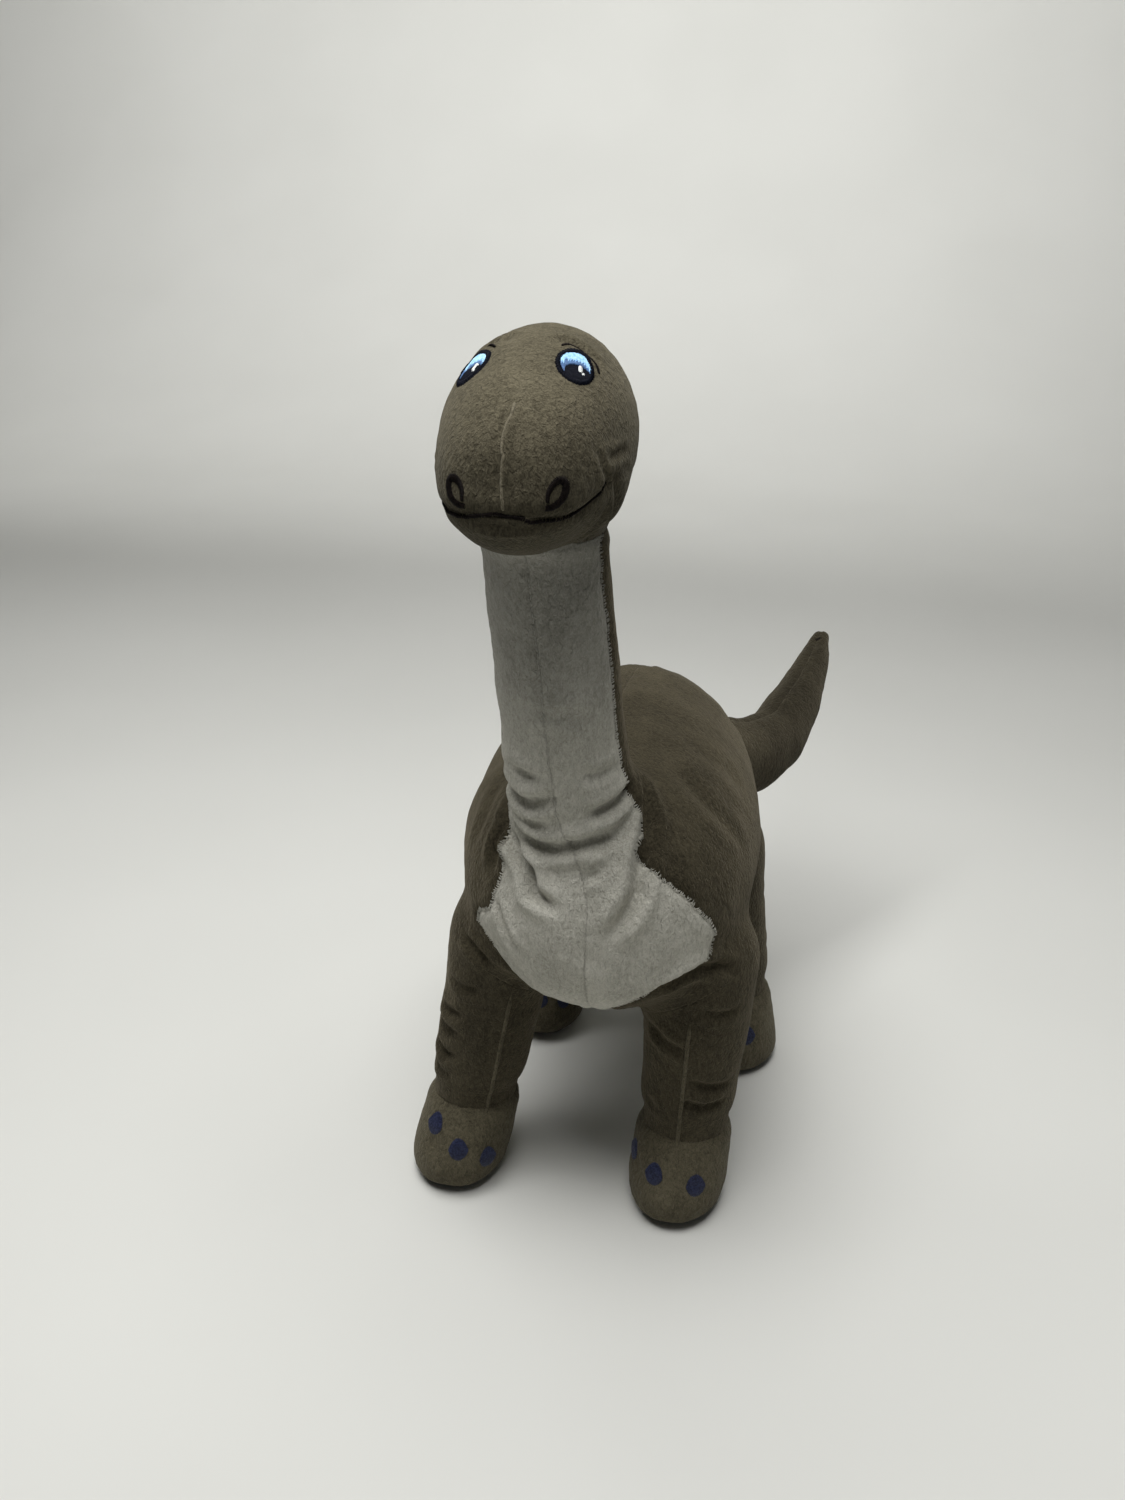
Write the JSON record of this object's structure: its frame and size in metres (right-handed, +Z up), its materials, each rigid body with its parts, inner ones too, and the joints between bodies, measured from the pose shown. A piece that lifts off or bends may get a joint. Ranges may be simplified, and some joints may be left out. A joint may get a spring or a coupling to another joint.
{
  "type": "stuffed dinosaur",
  "caption": "Soft stuffed long-necked dinosaur standing on four legs, brown and light grey short-pile plush with embroidered eyes, mouth and claws; neck, head, tail and legs flex.",
  "frame": {"origin": "on the floor, below the middle of the animal's bounding box", "axes": "+Z up, the head faces -Y, the tail points to +Y, the animal's left side is +X"},
  "size_m": [0.1935, 0.4617, 0.4624],
  "materials": {
    "brown_plush": "short-pile plush, matt with a soft sheen",
    "grey_plush": "short-pile plush, matt with a soft sheen",
    "stuffing": "loose polyester fibre",
    "blue_thread": "satin embroidery thread",
    "navy_thread": "satin embroidery thread",
    "dark_thread": "satin embroidery thread",
    "label_satin": "woven satin ribbon, blank"
  },
  "bodies": {
    "torso": {"torso_stuffing": "stuffing", "body_left_panel": "brown_plush", "body_right_panel": "brown_plush", "belly_left_panel": "grey_plush", "belly_right_panel": "grey_plush", "care_label": "label_satin"},
    "neck": {"neck_stuffing": "stuffing", "neck_front_left_panel": "grey_plush", "neck_front_right_panel": "grey_plush", "neck_back_left_panel": "brown_plush", "neck_back_right_panel": "brown_plush"},
    "head": {"head_stuffing": "stuffing", "face_panel": "brown_plush", "chin_panel": "brown_plush", "head_back_left_panel": "brown_plush", "head_back_right_panel": "brown_plush", "left_eye": "blue_thread", "right_eye": "blue_thread", "left_brow": "dark_thread", "right_brow": "dark_thread", "left_nostril": "dark_thread", "right_nostril": "dark_thread", "mouth_stitch": "dark_thread"},
    "tail": {"tail_stuffing": "stuffing", "tail_left_panel": "brown_plush", "tail_right_panel": "brown_plush"},
    "front_left_leg": {"front_left_stuffing": "stuffing", "front_left_outer_panel": "brown_plush", "front_left_inner_panel": "brown_plush", "front_left_foot_panel": "brown_plush", "front_left_sole": "brown_plush", "front_left_claws": "navy_thread"},
    "front_right_leg": {"front_right_stuffing": "stuffing", "front_right_outer_panel": "brown_plush", "front_right_inner_panel": "brown_plush", "front_right_foot_panel": "brown_plush", "front_right_sole": "brown_plush", "front_right_claws": "navy_thread"},
    "rear_left_leg": {"rear_left_stuffing": "stuffing", "rear_left_outer_panel": "brown_plush", "rear_left_inner_panel": "brown_plush", "rear_left_foot_panel": "brown_plush", "rear_left_sole": "brown_plush", "rear_left_claws": "navy_thread"},
    "rear_right_leg": {"rear_right_stuffing": "stuffing", "rear_right_outer_panel": "brown_plush", "rear_right_inner_panel": "brown_plush", "rear_right_foot_panel": "brown_plush", "rear_right_sole": "brown_plush", "rear_right_claws": "navy_thread"}
  },
  "joints": [
    {"name": "neck_lean", "type": "hinge", "parent": "torso", "child": "neck", "pos_m": [-0.0016, -0.1408, 0.222], "axis": [1, 0, 0], "range_deg": [-12, 18], "stiffness_Nm_per_rad": 1.5},
    {"name": "head_nod", "type": "hinge", "parent": "neck", "child": "head", "pos_m": [-0.0126, -0.1638, 0.384], "axis": [1, 0, 0], "range_deg": [-15, 20], "stiffness_Nm_per_rad": 0.8},
    {"name": "tail_swing", "type": "hinge", "parent": "torso", "child": "tail", "pos_m": [0.0104, 0.0512, 0.178], "axis": [0, 0, 1], "range_deg": [-20, 20], "stiffness_Nm_per_rad": 0.8},
    {"name": "front_left_leg_swing", "type": "hinge", "parent": "torso", "child": "front_left_leg", "pos_m": [0.0604, -0.1248, 0.15], "axis": [1, 0, 0], "range_deg": [-16, 16], "stiffness_Nm_per_rad": 3},
    {"name": "front_right_leg_swing", "type": "hinge", "parent": "torso", "child": "front_right_leg", "pos_m": [-0.0456, -0.1268, 0.15], "axis": [1, 0, 0], "range_deg": [-16, 16], "stiffness_Nm_per_rad": 3},
    {"name": "rear_left_leg_swing", "type": "hinge", "parent": "torso", "child": "rear_left_leg", "pos_m": [0.0464, -0.0028, 0.146], "axis": [1, 0, 0], "range_deg": [-16, 16], "stiffness_Nm_per_rad": 3},
    {"name": "rear_right_leg_swing", "type": "hinge", "parent": "torso", "child": "rear_right_leg", "pos_m": [-0.0476, -0.0008, 0.148], "axis": [1, 0, 0], "range_deg": [-16, 16], "stiffness_Nm_per_rad": 3}
  ]
}
